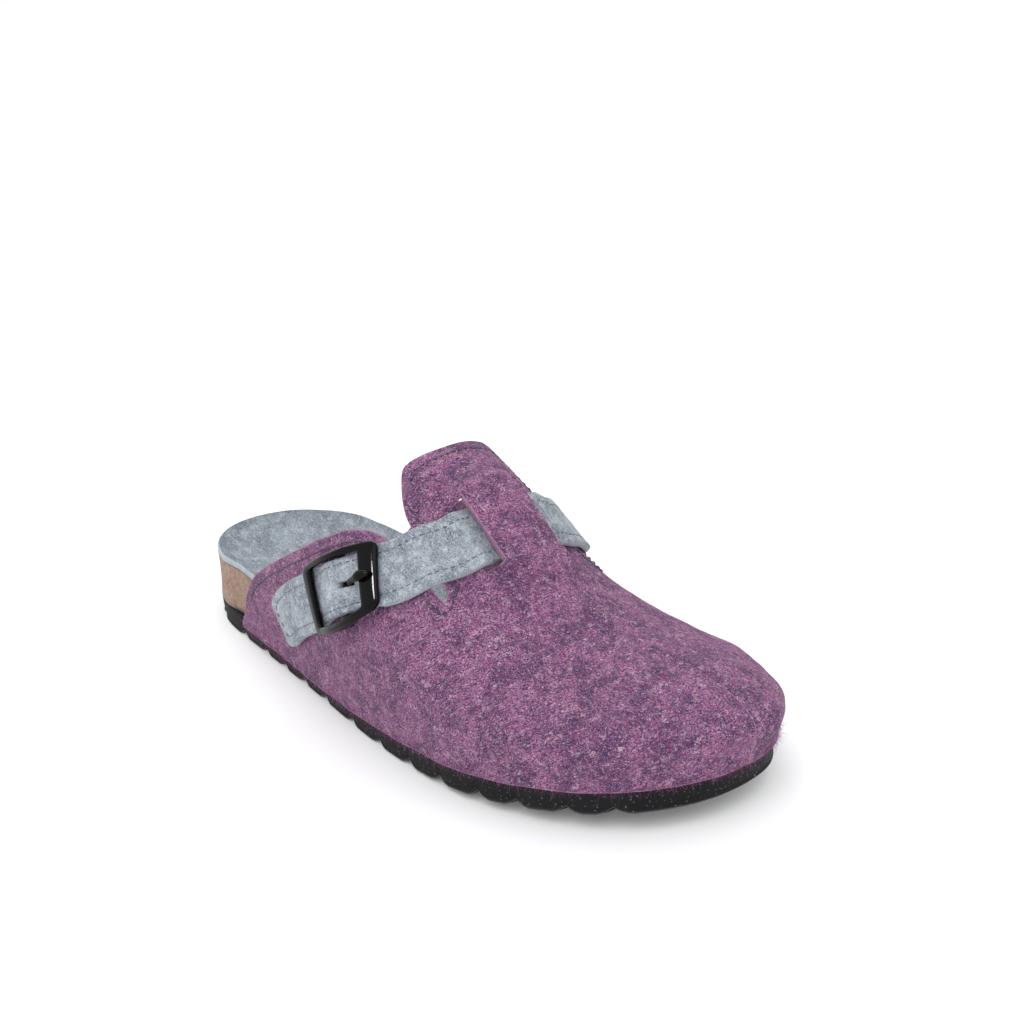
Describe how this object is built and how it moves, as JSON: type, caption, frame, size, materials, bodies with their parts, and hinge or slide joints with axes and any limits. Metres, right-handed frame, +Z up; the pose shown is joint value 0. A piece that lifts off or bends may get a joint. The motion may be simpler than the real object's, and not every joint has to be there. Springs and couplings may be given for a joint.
{
  "type": "clog slipper",
  "caption": "Backless felt clog slipper with closed toe, raised tongue, buckled felt strap, cork footbed and black tread sole.",
  "frame": {"origin": "centre of the bounding box's underside, on the floor the shoe stands on", "axes": "+Y along the shoe to the heel, so the toe points to -Y; +X to the big toe's side; +Z up"},
  "size_m": [0.1108, 0.2614, 0.0953],
  "materials": {
    "outsole": "matte black foam rubber",
    "midsole": "sealed granulated cork",
    "insole": "heather grey felt",
    "upper": "purple heather felt",
    "strap": "light grey heather felt",
    "buckle_frame": "gloss black lacquer",
    "buckle_prong": "gloss black lacquer"
  },
  "bodies": {
    "root": {"outsole": "outsole", "midsole": "midsole", "insole": "insole", "upper": "upper", "strap": "strap", "buckle_frame": "buckle_frame", "buckle_prong": "buckle_prong"}
  },
  "joints": []
}
